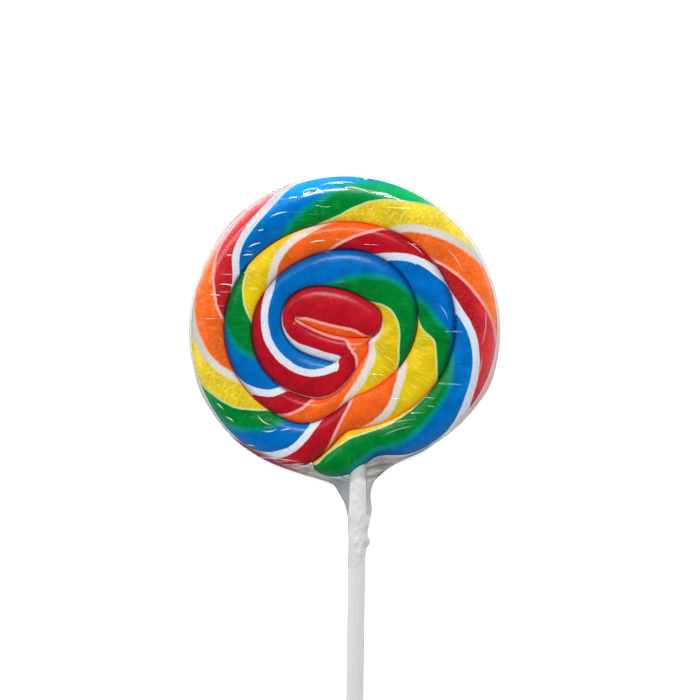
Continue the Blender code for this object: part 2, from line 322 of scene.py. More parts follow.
def millimetres_per_stripe(points, stripes):
    """Distance square to the borders in which the stripe number grows by 1, at each point."""
    along = np.gradient(points, axis=0)
    across = np.gradient(points, axis=1)
    rise_along = np.gradient(stripes, axis=0)
    rise_across = np.gradient(stripes, axis=1)
    area = along[..., 0] * across[..., 1] - along[..., 1] * across[..., 0]
    area = np.where(np.abs(area) < 1e-4, 1e-4, area)
    slope_x = (rise_along * across[..., 1] - rise_across * along[..., 1]) / area
    slope_y = (rise_across * along[..., 0] - rise_along * across[..., 0]) / area
    return np.clip(1.0 / np.hypot(slope_x, slope_y).clip(1e-3), 2.0, 60.0)


def quads(rows):
    """The four corners of each quad of a grid that is given as rows."""
    return [quad for above, below in zip(rows, rows[1:])
            for quad in zip(above, below, below[1:], above[1:])]


def new_mesh(name, points, faces, domain="POINT", values=None):
    """A mesh that is shaded smooth, with named values on its points or on its faces' corners."""
    data = bpy.data.meshes.new(name)
    data.from_pydata(points, [], faces)
    for value_name, numbers in (values or {}).items():
        layer = data.attributes.new(value_name, "FLOAT", domain)
        layer.data.foreach_set("value", np.array(numbers, np.float32))
    data.shade_smooth()
    return data


class CandyMesh:
    """Builds the candy's two sides, which share the vertices of the rim."""

    def __init__(self):
        self.points = []
        self.faces = []
        self.values = {}
        self.edge_verts = {}

    def add_vert(self, side, point, height):
        self.points.append((point.x, point.y, MID_HEIGHT + side.sign * height))
        return len(self.points) - 1

    def edge_vert(self, side, edge):
        """The vertex on an edge of the rope, made once and shared by the turns beside it."""
        if edge == ("groove", TAIL + TURN):
            edge = ("groove", TAIL)
        key = (edge, 0 if on_rim(edge) else side.sign)
        if key not in self.edge_verts:
            point = edge_point(edge)
            self.edge_verts[key] = self.add_vert(side, point, edge_height(side, edge))
        return self.edge_verts[key]

    def station_row(self, side, station, shares):
        """Vertices across the rope, from its right edge to its left."""
        right, left = station
        right_point, left_point = edge_point(right), edge_point(left)
        right_level, left_level = edge_height(side, right), edge_height(side, left)
        first, last = self.edge_vert(side, right), self.edge_vert(side, left)
        if first == last:
            return [first] * len(shares)
        width = (left_point - right_point).length
        row = [first]
        for share in shares[1:-1]:
            level = right_level if share < 0.5 else left_level
            point = right_point.lerp(left_point, share)
            row.append(self.add_vert(side, point, rope_height(side, share, level, width)))
        return row + [last]

    def add_side(self, side):
        stations = rope_stations()
        shares = column_shares(side)
        rights, lefts = [np.array([edge_point(edge) for edge in edges]) / MM for edges in zip(*stations)]
        widths = np.linalg.norm(lefts - rights, axis=1)
        middles = (rights + lefts) / 2.0
        moves = np.linalg.norm(np.diff(middles, axis=0), axis=1)
        along = np.concatenate([[0.0], np.cumsum(moves)])
        grid = np.array(shares)[None, :]
        plan = rights[:, None, :] + (lefts - rights)[:, None, :] * grid[..., None]
        stripes = stripe_field(side, along, shares)
        rim_rows = np.array([[on_rim(left)] for right, left in stations])
        left_gap = (1.0 - grid) * widths[:, None]
        groove_gap = np.where(rim_rows, EDGE_REACH, left_gap)
        fields = {
            "stripe": stripes,
            "stripe_mm": millimetres_per_stripe(plan, stripes),
            "along_mm": np.broadcast_to(along[:, None], stripes.shape),
            "across_mm": (grid - 0.5) * widths[:, None],
            "groove_mm": np.minimum(grid * widths[:, None] * NEAR_SIDE, groove_gap),
            "rim_mm": np.where(rim_rows, left_gap, EDGE_REACH),
        }
        rows = [self.station_row(side, station, shares) for station in stations]
        places = [[(row, column) for column in range(len(shares))] for row in range(len(rows))]
        for verts, corners in zip(quads(rows), quads(places)):
            self.add_face(verts[::-side.sign], corners[::-side.sign], fields)

    def add_face(self, verts, corners, fields):
        """Add one quad, or a triangle where the rope narrows to a point."""
        kept = {}
        for vert, corner in zip(verts, corners):
            kept.setdefault(vert, corner)
        if len(kept) < 3:
            return
        self.faces.append(list(kept))
        for name, field in fields.items():
            self.values.setdefault(name, []).extend(field[corner] for corner in kept.values())


# ---- Materials ----

class Value:
    """What a node gives. Numbers can be added, subtracted and multiplied."""

    def __init__(self, shader, socket):
        self.shader = shader
        self.socket = socket

    def __add__(self, other):
        return self.shader.math("ADD", self, other)

    def __sub__(self, other):
        return self.shader.math("SUBTRACT", self, other)

    def __rsub__(self, other):
        return self.shader.math("SUBTRACT", other, self)

    def __mul__(self, other):
        return self.shader.math("MULTIPLY", self, other)

    def __abs__(self):
        return self.shader.math("ABSOLUTE", self)

    def ease(self, low, high, to_low=0.0, to_high=1.0):
        """The value carried smoothly from the range low..high to to_low..to_high."""
        inputs = dict(enumerate((self, low, high, to_low, to_high)))
        return self.shader.node("MapRange", inputs, interpolation_type="SMOOTHSTEP")


class Shader:
    """The nodes of a material or of the world, with short ways to add and link them."""

    def __init__(self, owner):
        owner.use_nodes = True
        self.owner = owner
        self.tree = owner.node_tree

    def fill(self, node, inputs):
        """Link a node's inputs, named or numbered, to what other nodes give, or set them."""
        for name, value in inputs.items():
            if isinstance(value, Value):
                self.tree.links.new(value.socket, node.inputs[name])
            else:
                node.inputs[name].default_value = value

    def node(self, kind, inputs, output=0, **settings):
        """Add a node, and give one of its outputs."""
        node = self.tree.nodes.new("ShaderNode" + kind)
        for name, setting in settings.items():
            setattr(node, name, setting)
        self.fill(node, inputs)
        return Value(self, node.outputs[output])

    def math(self, operation, *values):
        return self.node("Math", dict(enumerate(values)), operation=operation)

    def mix(self, factor, first, second, blend="MIX"):
        """Mix two colours."""
        inputs = {0: factor, 6: colour(first), 7: colour(second)}
        return self.node("Mix", inputs, 2, data_type="RGBA", blend_type=blend)

    def multiply(self, first, second):
        """Multiply two colours, or a colour by a grey."""
        return self.mix(1.0, first, second, "MULTIPLY")

    def attribute(self, name):
        return self.node("Attribute", {}, "Fac", attribute_name=name)

    def object_place(self):
        return self.node("TexCoord", {}, "Object")

    def split(self, place):
        """The x, y and z of a place."""
        split = self.node("SeparateXYZ", {0: place}).socket.node
        return [Value(self, socket) for socket in split.outputs]

    def place(self, x, y):
        return self.node("CombineXYZ", {0: x, 1: y})

    def stretch(self, place, scale, turn=0.0):
        """A place turned about Z, in degrees, and scaled along each axis."""
        turn = (0.0, 0.0, math.radians(turn))
        return self.node("Mapping", {"Vector": place, "Rotation": turn, "Scale": scale})

    def noise(self, place, scale, detail=2.0, roughness=0.5):
        inputs = {"Vector": place, "Scale": scale, "Detail": detail, "Roughness": roughness}
        return self.node("TexNoise", inputs, "Fac")

    def bump(self, height, distance):
        return self.node("Bump", {"Height": height, "Distance": distance}, "Normal")

    def steps(self, index, values):
        """Pick one of the values, numbers or colours, by a whole number from 0 up."""
        picked = self.node("ValToRGB", {"Fac": (index + 0.5) * (1.0 / len(values))}, "Color")
        ramp = picked.socket.node.color_ramp
        ramp.interpolation = "CONSTANT"
        while len(ramp.elements) < len(values):
            ramp.elements.new(0.5)
        for count, value in enumerate(values):
            ramp.elements[count].position = count / len(values)
            ramp.elements[count].color = colour(value)
        return picked


def colour(value):
    """A colour with its alpha, from three numbers or one grey. What a node gives passes through."""
    if isinstance(value, Value):
        return value
    if isinstance(value, (int, float)):
        value = (value, value, value)
    return (*value[:3], 1.0)


def screen_colours(*shown):
    """Linear colours from the red, green and blue that a screen shows, each 0 to 255."""
    levels = np.array(shown) / 255.0
    linear = np.where(levels <= 0.04045, levels / 12.92, ((levels + 0.055) / 1.055) ** 2.4)
    return tuple(tuple(channels) for channels in linear.tolist())


# For each stripe in turn: blue, green, yellow, orange, red.
STRIPE_COLOURS = screen_colours((0, 103, 176), (0, 120, 44), (205, 180, 0), (218, 93, 26), (172, 16, 34))
# The same colours in painted shade deep in a groove, in painted light where light comes through the thin rim,
# and in fine lines.
STRIPE_SHADES = screen_colours((0, 62, 134), (0, 84, 42), (250, 176, 4), (240, 84, 18), (136, 14, 32))
STRIPE_PAINTED_LIGHTS = screen_colours((0, 154, 226), (0, 170, 96), (218, 190, 26), (232, 106, 34), (210, 60, 70))
HAIR_COLOURS = screen_colours((30, 130, 200), (40, 156, 84), (246, 236, 130), (250, 150, 90), (205, 50, 62))
STRIPE_GRAIN = (0.0, 0.0, 0.28, 0.08, 0.03)  # how mottled each colour is
STRIPE_HAIRS = (0.5, 0.6, 0.6, 0.4, 0.4)  # how much each shows fine lines across the rope
GRAINY_FROM = (310.0, 340.0)  # the rope is streaky up to the first distance, grainy past the second
PAINTED_LIGHT_WIDTH = 7.0  # how far in from the rim the painted light reaches, in mm
PAINTED_LIGHT_FROM = (-24.0 * MM, -4.0 * MM)  # no painted light below, all of it above
SHADE_WIDTH = 1.9  # how far from a groove its shade reaches, in mm

# For the border before each stripe: red to blue, blue to green, green to yellow and so on.
BORDER_WIDTHS = (0.9, 0.0, 0.22, 0.92, 0.34)  # half the width of the pale line, in mm
BORDER_SOFTNESS = (0.1, 1.2, 0.1, 0.15, 0.12)  # how far the colours run into each other, in mm
BORDER_FRAY = (0.3, 0.0, 0.15, 0.9, 0.2)  # how ragged the pale line's edges are, in mm
BORDER_BLUR = (0.12, 0.12, 0.12, 0.3, 0.12)  # and how soft they are, in mm
BORDER_WANDER = 0.5  # how far a border strays from its track, in mm
BORDER_COLOURS = screen_colours(
    (204, 210, 220), (4, 150, 110), (190, 206, 146), (208, 202, 196), (228, 164, 156))
GRAIN_COLOUR, SPECK_COLOUR = screen_colours((255, 244, 150), (120, 130, 168))


class CandyPattern:
    """The candy's stripes at a point: which border is nearest, how far, and what is beside it."""

    def __init__(self, shader):
        self.shader = shader
        self.along = shader.attribute("along_mm")
        self.across = shader.attribute("across_mm")
        self.place = shader.place(self.along, self.across)
        stripe = shader.attribute("stripe")
        border = shader.math("ROUND", stripe)
        self.after = shader.math("FLOORED_MODULO", border, float(COLOURS))
        self.before = shader.math("FLOORED_MODULO", border - 1.0, float(COLOURS))
        wander = shader.noise(self.place, 0.25) - 0.5
        self.offset = (stripe - border) * shader.attribute("stripe_mm") + wander * BORDER_WANDER
        softness = self.by_border(BORDER_SOFTNESS)
        self.turned = self.offset.ease(softness * -1.0, softness)

    def by_border(self, values):
        """The value of the nearest border."""
        return self.shader.steps(self.after, values)

    def by_stripe(self, values):
        """The value of the stripe, mixed with its neighbour's at their border."""
        before = self.shader.steps(self.before, values)
        return self.shader.mix(self.turned, before, self.by_border(values))


def sugar_body(shader, pattern, painted_rim_light, hair_noise, has_line):
    """The colour of the sugar, lighter where light is painted near the rim, with the fine lines and the grain
    of pulled sugar, and how grainy.
    """
    body = shader.mix(painted_rim_light, pattern.by_stripe(STRIPE_COLOURS), pattern.by_stripe(STRIPE_PAINTED_LIGHTS))
    between = pattern.turned * (1.0 - pattern.turned) * (1.0 - has_line) * 2.4
    body = shader.mix(between, body, pattern.by_border(BORDER_COLOURS))
    body = shader.multiply(body, shader.noise(pattern.place, 0.22).ease(0.3, 0.7, 0.85, 1.1))
    hairs = hair_noise.ease(0.48, 0.8) * pattern.by_stripe(STRIPE_HAIRS)
    body = shader.mix(hairs, body, pattern.by_stripe(HAIR_COLOURS))
    stretch = pattern.along.ease(*GRAINY_FROM, 0.25, 1.0)
    grain_place = shader.place(pattern.along, pattern.across * stretch)
    grain = shader.noise(grain_place, 1.3, 3.0, 0.65).ease(0.42, 0.7)
    grain = grain * pattern.along.ease(*GRAINY_FROM, 0.15, 1.0) * pattern.by_stripe(STRIPE_GRAIN)
    return shader.mix(grain, body, GRAIN_COLOUR), hairs, grain


def candy_material():
    """Boiled sugar in five colours, parted by pale lines, with the fine grain of pulled sugar, painted shade
    in the grooves and painted light near the upper rim.
    """
    shader = Shader(bpy.data.materials.new("candy_sugar"))
    pattern = CandyPattern(shader)
    half_width = pattern.by_border(BORDER_WIDTHS)
    has_line = shader.math("GREATER_THAN", half_width, 0.01)
    x, y, z = shader.split(shader.object_place())
    # Painted light: the colours turn lighter near the rim, on the upper part of the candy only.
    painted_rim_light = shader.attribute("rim_mm").ease(0.0, PAINTED_LIGHT_WIDTH, 1.0, 0.0) * y.ease(*PAINTED_LIGHT_FROM)
    slant = shader.noise(pattern.place, 0.12, 1.0) * 4.0 + pattern.along
    hair_noise = shader.noise(shader.place(slant, pattern.across * 0.14), 1.9, 4.0, 0.65)
    body, hairs, grain = sugar_body(shader, pattern, painted_rim_light, hair_noise, has_line)

    gap = abs(pattern.offset) - half_width + (hair_noise - 0.5) * pattern.by_border(BORDER_FRAY)
    blur = pattern.by_border(BORDER_BLUR)
    line = gap.ease(blur * -1.0, blur, 1.0, 0.0) * has_line
    speck = shader.noise(pattern.place, 1.7, 2.0, 0.7).ease(0.52, 0.72, 0.0, 0.45)
    pale = shader.mix(speck, pattern.by_border(BORDER_COLOURS), SPECK_COLOUR)
    # The pale lines are dimmed under the painted rim light.
    pale = shader.multiply(pale, 1.0 - painted_rim_light * 0.22)
    body = shader.mix(line, body, pale)
    # Painted groove shade: near a groove each stripe turns to its shade colour, amber for yellow and orange.
    shade = shader.mix(line * 0.5, pattern.by_stripe(STRIPE_SHADES), pale)
    body = shader.mix(shader.attribute("groove_mm").ease(0.0, SHADE_WIDTH, 0.8, 0.0), body, shade)

    relief = hairs * 0.6 + shader.noise(pattern.place, 0.9, 3.0)
    shader.fill(shader.tree.nodes["Principled BSDF"], {
        "Base Color": body,
        "Specular IOR Level": 0.2,
        "Roughness": grain.ease(0.0, 0.4, 0.22, 0.42),
        "Subsurface Weight": 0.8,
        "Subsurface Radius": (1.0, 0.7, 0.5),
        "Subsurface Scale": 1.2 * MM,
        "Normal": shader.bump(relief, 0.04 * MM),
    })
    return shader.owner


# ---- Pieces ----

def add_object(name, data):
    thing = bpy.data.objects.new(name, data)
    bpy.context.scene.collection.objects.link(thing)
    return thing


def add_piece(name, data, material, node):
    """A visible piece that stands for one CAD node."""
    piece = add_object(name, data)
    data.materials.append(material)
    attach(piece, "root")
    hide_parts(node)
    return piece


def make_candy():
    builder = CandyMesh()
    builder.add_side(FACE)
    builder.add_side(BACK)
    data = new_mesh("candy_rope", builder.points, builder.faces, "CORNER", builder.values)
    data.set_sharp_from_angle(angle=math.radians(60))
    return add_piece("candy_rope", data, candy_material(), "candy")


# ---- Stick ----

STICK_SIDES = 40
STICK_ROW = 1.2 * MM  # spacing of the stick's rings
STICK_HOLLOW = 0.35 * MM  # radius of the small hole in the rolled paper's ends
STICK_EASE = 0.35 * MM  # rounding at the ends
PAPER_COLOURS = screen_colours((183, 185, 182), (191, 192, 189))


def stick_profile():
    """Distance along the stick from its top and radius, from one end's hole to the other's."""
    length = STICK_HIGH.y - STICK_LOW.y
    top = [(1.2 * MM, STICK_HOLLOW), (0.1 * MM, STICK_HOLLOW), (0.0, STICK_HOLLOW * 1.4)]
    # The rounding runs from the stick's side to its end, so it leaves a lip of about 0.3 mm.
    for turn in np.radians((0.0, 22.5, 45.0, 67.5, 90.0)):
        top.append((STICK_EASE * (1.0 - math.sin(turn)), STICK_RADIUS - STICK_EASE * (1.0 - math.cos(turn))))
    rows = int((length - 4.0 * STICK_EASE) / STICK_ROW)
    shaft = [(STICK_EASE + (length - 2.0 * STICK_EASE) * row / rows, STICK_RADIUS) for row in range(1, rows)]
    bottom = [(length - depth, radius) for depth, radius in reversed(top)]
    return top + shaft + bottom


def stick_mesh():
    """A tightly rolled paper stick, with a small hole down its middle at both ends."""
    points, rings = [], []
    lean = math.atan2(stick_x(STICK_HIGH.y) - stick_x(STICK_LOW.y), STICK_HIGH.y - STICK_LOW.y)
    for depth, radius in stick_profile():
        y = STICK_HIGH.y - depth * math.cos(lean)
        first = len(points)
        rings.append([*range(first, first + STICK_SIDES), first])
        for side in range(STICK_SIDES):
            turn = 2.0 * math.pi * side / STICK_SIDES
            points.append((stick_x(y) + radius * math.cos(turn), y, MID_HEIGHT + radius * math.sin(turn)))
    faces = quads(rings) + [rings[0][:-1], rings[-1][-2::-1]]
    data = new_mesh("paper_stick", points, faces)
    data.set_sharp_from_angle(angle=math.radians(50))
    return data


def stick_material():
    """Uncoated white paper with faint fibres along the stick."""
    shader = Shader(bpy.data.materials.new("stick_paper"))
    place = shader.object_place()
    fibres = shader.noise(shader.stretch(place, (2600.0, 220.0, 2600.0)), 1.0, 3.0, 0.6)
    paper = shader.mix(fibres.ease(0.3, 0.7), *PAPER_COLOURS)
    paper = shader.multiply(paper, shader.noise(place, 160.0).ease(0.3, 0.7, 0.97, 1.0))
    shader.fill(shader.tree.nodes["Principled BSDF"], {
        "Base Color": paper,
        "Roughness": 0.75,
        "Normal": shader.bump(fibres, 0.02 * MM),
    })
    return shader.owner


def make_stick():
    return add_piece("paper_stick", stick_mesh(), stick_material(), "stick")


# ---- Film wrapper ----

FILM_CLEARANCE = 0.14 * MM  # the film's middle to what it lies on
FILM_SIDE_REACH = WRAPPER_HIGH.x - 0.2 * MM
FILM_TOP_REACH = RIM_RADIUS + 0.3 * MM
FILM_ARC_STEP = 0.8  # degrees between rows round the arc
FILM_ROW = 0.5 * MM  # rows below the arc
FILM_COLUMNS = 200
FILM_ARC_END = 108.0  # where the film leaves the round, in degrees from the top
FILM_EDGE_GAP = 0.25 * MM  # from the candy's outline to the film's
LEFT_SLACK = Bump(39, 13, 0.03)  # where the loose film stands off, by a share of its reach
RIGHT_SLACK = Bump(43, 18, 0.024)
OUTLINE_SPAN = 0.8 * MM  # how near to a row the candy's outline is looked for
SMOOTH_ROUNDS = 14  # rounds of smoothing for the film's outline, down to the neck
END_SLANT = 3.6 * MM  # how much higher the film ends on its right than on its left
END_REACH = 7.0 * MM  # how far up the slant of the end is felt
RELAX_ROUNDS = 1200  # rounds in which the film is pulled tight

# The film's left and right edge where it gathers to the neck: millimetres below the centre, and x.
FILM_LEFT = (
    (21.1, -32.6), (24.5, -29.9), (28, -26.4), (31, -22.2), (33.5, -18.5), (34.9, -13.8),
    (36.6, -8.0), (38.4, -2.8), (41.1, -1.1), (43.7, 0.2), (46.2, 0.65), (51.7, 0.9), (59.4, 0.8),
)
FILM_RIGHT = (
    (18.6, 33.0), (21.9, 30.2), (26.1, 25.9), (29.1, 20), (31.3, 14.9), (33.3, 11.5), (35.9, 9.1),
    (37.8, 7.3), (41.1, 6.5), (44.4, 6.85), (47.3, 6.4), (50.6, 5.8), (52.6, 6.5), (54.6, 5.4),
    (59.4, 5.2),
)

# Creases in the film, each a low ridge that catches the light, with a painted highlight line along it: where
# its middle is, its length in millimetres, which way it runs, in degrees from +X, and how much it bends.
Crease = namedtuple("Crease", "x y length turn bend")

CREASES = [Crease(*crease) for crease in (
    (-16.2, 28.6, 4.6, 16, 0.3), (-12.9, 32.6, 2.2, 10, 0.2), (-22.2, 21.0, 3.4, 20, 0.2),
    (-23.8, 18.5, 2.6, 4, 0.1), (-20.6, 24.6, 1.6, 12, 0.1), (-29.0, 11.1, 3.8, -6, 0.2),
    (-28.4, 18.4, 1.6, 8, 0.1), (-32.0, 8.6, 3.0, -4, 0.1), (-20.0, -22.4, 4.2, -38, -0.5),
    (-18.4, -24.9, 3.6, 8, -0.4), (-14.4, -24.6, 2.8, 10, 0.1), (-23.2, -28.6, 2.2, -6, 0.1),
    (-30.8, -18.8, 2.2, -40, 0.1), (-28.4, -22.0, 2.4, -30, 0.2), (11.6, -23.4, 13.0, 15, 0.7),
    (13.2, -24.8, 8.0, 18, 0.4), (17.5, 20.2, 5.4, -38, 0.4), (27.4, 17.2, 6.6, -56, 0.6),
    (34.6, 0.6, 9.0, 84, -0.5), (33.4, -9.4, 6.4, 76, -0.4), (-1.8, 36.2, 9.0, 4, 0.6),
    (3.6, 34.6, 7.4, -16, 0.5), (-8.4, 34.6, 5.2, 12, 0.4), (24.6, 4.4, 4.2, -60, 0.3),
    (-6.6, 21.8, 4.0, 8, 0.3), (-16.4, -32.0, 11.0, -6, 0.2), (-11.8, -33.6, 8.0, -3, 0.2),
)]
CREASE_HEIGHT = 0.16 * MM
CREASE_WIDTH = 0.32 * MM
CREASE_REACH = 1.0 * MM  # how far to its sides a crease can catch the light

# Folds of the gathered neck, the same way.
NECK_FOLDS = [Crease(*fold) for fold in (
    (1.9, -41.4, 4.6, -46, -0.9), (1.9, -39.2, 2.4, 12, 0.2), (5.6, -41.4, 3.4, 84, 0.2),
    (4.4, -46.0, 3.0, 40, 0.4), (3.2, -49.6, 4.2, 34, 0.6), (2.4, -52.6, 3.6, 28, -0.5),
    (4.6, -53.0, 3.2, 62, 0.5), (3.6, -55.6, 3.4, -24, 0.4), (1.9, -56.6, 2.4, -20, 0.3),
    (5.0, -49.0, 2.6, 96, 0.2),
)]
NECK_FOLD_HEIGHT = 0.34 * MM
NECK_FOLD_WIDTH = 0.46 * MM
GATHER_FROM = -26.0 * MM  # the y below which the film starts to gather
GATHER_LENGTH = 14.0 * MM  # and how much lower it is fully gathered
EDGE_FADE = 1.2 * MM  # how far in from its outline the film's folds reach full height


def film_rows(candy_points):
    """The y of each row of the film, from the top down, and the x of its left and right edges."""
    turns = np.radians(np.arange(1, int(FILM_ARC_END / FILM_ARC_STEP) + 1) * FILM_ARC_STEP)
    arc_ys, arc_reaches = FILM_TOP_REACH * np.cos(turns), FILM_SIDE_REACH * np.sin(turns)
    depths = np.arange(FILM_ROW - arc_ys[-1], FILM_LEFT[-1][0] * MM, FILM_ROW)
    ys = np.concatenate([arc_ys, -depths])
    low = slice(len(turns) // 2, int(np.sum(ys > NECK_LEVEL)))  # the rows that are smoothed
    near = np.abs(candy_points[:, 1] - ys[:, None]) < OUTLINE_SPAN
    columns = [ys]
    for sign, slack, track in ((-1.0, LEFT_SLACK, FILM_LEFT), (1.0, RIGHT_SLACK, FILM_RIGHT)):
        stand_off = slack.height * np.exp(-((np.degrees(turns) - slack.angle) / slack.width) ** 2)
        track = ((-arc_ys[-1] / MM, sign * arc_reaches[-1] / MM),) + track
        below = sign * smooth_track(track, depths / MM) * MM
        least = np.where(near, sign * candy_points[:, 0] + FILM_EDGE_GAP, -np.inf).max(axis=1)
        reaches = np.maximum(np.concatenate([arc_reaches * (1.0 + stand_off), below]), least)
        for _ in range(SMOOTH_ROUNDS):
            middle = (reaches[low.start - 1:low.stop - 1] + reaches[low.start + 1:low.stop + 1]) / 2.0
            reaches[low] = np.maximum(middle, least[low])
        columns.append(sign * np.minimum(reaches, FILM_SIDE_REACH))
    return columns


def candy_heights(tree, xs, ys, sign):
    """How far above the middle plane the candy reaches on one side of it, or -1 beside it."""
    heights = np.full(xs.shape, -1.0)
    for place in np.ndindex(xs.shape):
        start = Vector((xs[place], ys[place], MID_HEIGHT + sign * 0.02))
        hit = tree.ray_cast(start, Vector((0.0, 0.0, -sign)), 0.02)[0]
        if hit is not None:
            heights[place] = sign * (hit.z - MID_HEIGHT)
    return heights


def stick_heights(xs, ys):
    """The same for the stick."""
    over = STICK_RADIUS ** 2 - (xs - stick_x(ys)) ** 2
    return np.where(over > 0.0, np.sqrt(np.maximum(over, 0.0)), -1.0)


def stretch_film(xs, ys, floor_heights):
    """Heights of a film pulled tight over what lies under it, with its edges in the middle plane."""
    least = np.where(floor_heights > 0.0, floor_heights + FILM_CLEARANCE, 0.0)
    least[:, (0, -1)] = 0.0
    heights = least.copy()
    left, right = np.diff(xs[1:-1])[:, :-1], np.diff(xs[1:-1])[:, 1:]
    up, down = -np.diff(ys[:, 1:-1], axis=0)[:-1], -np.diff(ys[:, 1:-1], axis=0)[1:]
    across_pull, along_pull = 1.0 / (left * right), 1.0 / (up * down)
    for _ in range(RELAX_ROUNDS):
        across = (heights[1:-1, :-2] * right + heights[1:-1, 2:] * left) / (left + right)
        along = (heights[:-2, 1:-1] * down + heights[2:, 1:-1] * up) / (up + down)
        pulled = (across * across_pull + along * along_pull) / (across_pull + along_pull)
        heights[1:-1, 1:-1] = np.maximum(least[1:-1, 1:-1], pulled)
        heights[-1] = np.maximum(least[-1], heights[-2])
    return heights


def crumple(xs, ys, shares, seed):
    """Slight unevenness everywhere, and soft folds where the film gathers: heights to add."""
    extra = np.zeros(xs.shape)
    gather = smooth_step((GATHER_FROM - ys) / GATHER_LENGTH)
    for place in np.ndindex(xs.shape):
        x, y = xs[place] / MM, ys[place] / MM
        folds = noise.noise(Vector((shares[place] * 3.0 + y * 0.12, y * 0.16, seed)))
        fine = noise.noise(Vector((shares[place] * 6.0 - y * 0.2, y * 0.3, seed + 5.0)))
        slight = noise.noise(Vector((x * 0.4, y * 0.3, seed + 9.0)))
        extra[place] = gather[place] * (0.7 * abs(folds) + 0.3 * abs(fine)) + 0.05 * abs(slight)
    return extra * MM


def near_crease(xs, ys, crease):
    """How far each point is across a crease and past its end, and its strength there, 0 to 1."""
    turn = math.radians(crease.turn)
    from_x, from_y = xs - crease.x * MM, ys - crease.y * MM
    along = np.abs(from_x * math.cos(turn) + from_y * math.sin(turn))
    across = from_y * math.cos(turn) - from_x * math.sin(turn)
    half = crease.length * MM / 2.0
    share = np.minimum(along / half, 1.0)
    return across + crease.bend * MM * (share ** 2 - 0.5), np.maximum(along - half, 0.0), 1.0 - share ** 2


def crease_heights(xs, ys, creases, height, width):
    """Heights that a set of creases adds: each a soft ridge that dies away at both ends."""
    extra = np.zeros(xs.shape)
    for crease in creases:
        across, beyond, strength = near_crease(xs, ys, crease)
        extra += height * strength * np.exp(-(across / width) ** 2)
    return extra


def nearest_creases(xs, ys):
    """How far each point is across the crease nearest to it, in mm, and that crease's strength."""
    nearest = np.full(xs.shape, np.inf)
    across_mm, strengths = np.zeros(xs.shape), np.zeros(xs.shape)
    for crease in CREASES:
        across, beyond, strength = near_crease(xs, ys, crease)
        distance = np.hypot(across, beyond)
        closer = distance < nearest
        felt = np.clip(2.0 - 2.0 * np.abs(across) / CREASE_REACH, 0.0, 1.0)
        nearest = np.where(closer, distance, nearest)
        across_mm = np.where(closer, across / MM, across_mm)
        strengths = np.where(closer, strength * felt, strengths)
    return across_mm, strengths


def slant_end(xs, ys, shares):
    """The y of each point with the film's lower end slanted, higher on the right."""
    end = ys.min()
    near_end = np.clip((end + END_REACH - ys) / END_REACH, 0.0, 1.0)
    return ys + END_SLANT * shares ** 1.5 * near_end ** 2


def soften(values, rounds):
    """Values over the film's grid, each moved towards its neighbours' mean."""
    for _ in range(rounds):
        around = np.pad(values, 1, mode="edge")
        sides = around[1:-1, :-2] + around[1:-1, 2:] + around[:-2, 1:-1] + around[2:, 1:-1]
        values = (values + sides / 4.0) / 2.0
    return values


def film_mesh(candy):
    """Two skins that meet along the film's outer edge and leave the neck open round the stick."""
    candy_points = np.array([tuple(vert.co) for vert in candy.data.vertices])
    tree = BVHTree.FromPolygons(candy_points.tolist(), [tuple(face.vertices) for face in candy.data.polygons])
    row_ys, lefts, rights = [column[:, None] for column in film_rows(candy_points)]
    shares = (1.0 - np.cos(np.linspace(0.0, math.pi, FILM_COLUMNS + 1))) / 2.0
    xs = lefts + (rights - lefts) * shares
    shares = np.broadcast_to(shares, xs.shape)
    ys = slant_end(xs, np.broadcast_to(row_ys, xs.shape), shares)
    inward = np.minimum(xs - xs[:, :1], xs[:, -1:] - xs)
    folds = crease_heights(xs, ys, CREASES, CREASE_HEIGHT, CREASE_WIDTH)
    folds += crease_heights(xs, ys, NECK_FOLDS, NECK_FOLD_HEIGHT, NECK_FOLD_WIDTH)
    values = {"edge_mm": inward / MM}
    values["crease_mm"], values["crease_strength"] = nearest_creases(xs, ys)

    upper = 1 + np.arange(xs.size).reshape(xs.shape)
    lower = upper.copy()
    inner = lower[:, 1:-1]
    inner[:] = 1 + xs.size + np.arange(inner.size).reshape(inner.shape)
    points, faces = [(0.0, FILM_TOP_REACH, MID_HEIGHT)], []
    layers = {"hang": [0.0], "edge_mm": [0.0], "crease_mm": [0.0], "crease_strength": [0.0]}
    for sign, grid, own in ((1.0, upper, slice(None)), (-1.0, lower, slice(1, -1))):
        candy_lie = candy_heights(tree, xs, ys, sign)
        values["hang"] = soften((candy_lie < 0.0).astype(float), 3)
        heights = stretch_film(xs, ys, np.maximum(candy_lie, stick_heights(xs, ys)))
        heights += (folds + crumple(xs, ys, shares, 3.0 + sign)) * smooth_step(inward / EDGE_FADE)
        heights = np.minimum(heights, CROWN + 2.0 * FILM_CLEARANCE)
        heights[:, (0, -1)] = 0.0
        skin = np.stack([xs, ys, MID_HEIGHT + sign * heights], axis=-1)
        points.extend(skin[:, own].reshape(-1, 3).tolist())
        for name, layer in layers.items():
            layer.extend(values[name][:, own].ravel().tolist())
        grid = grid.tolist()
        skin_faces = [(0, *pair) for pair in zip(grid[0], grid[0][1:])] + quads(grid)
        faces += skin_faces if sign > 0.0 else [face[::-1] for face in skin_faces]
    return new_mesh("film_wrapper", points, faces, "POINT", layers)


# ---- Looks of the film ----

LOOSE_BELOW = (-29.0 * MM, -24.0 * MM)  # under the first it runs loose to the neck
NECK_LEVEL = -36.3 * MM  # the y below which it is gathered round the stick
NECK_SIDE_DROP = 8.0 * MM  # how much lower it is gathered beside the stick
STICK_LEAN = (stick_x(MM) - stick_x(0.0)) / MM  # how far aside the stick goes along its length
STICK_TOP_X = STICK_HIGH.x - STICK_RADIUS
RED_SIDE = (320.0, 0.88)  # towards the red stripe at the upper left rim
PINK_SIDE = (112.0, 0.86)  # towards the red stripe at the right rim
LIT_SIDE = (290.0, -1.0)  # creases catch more light on the left

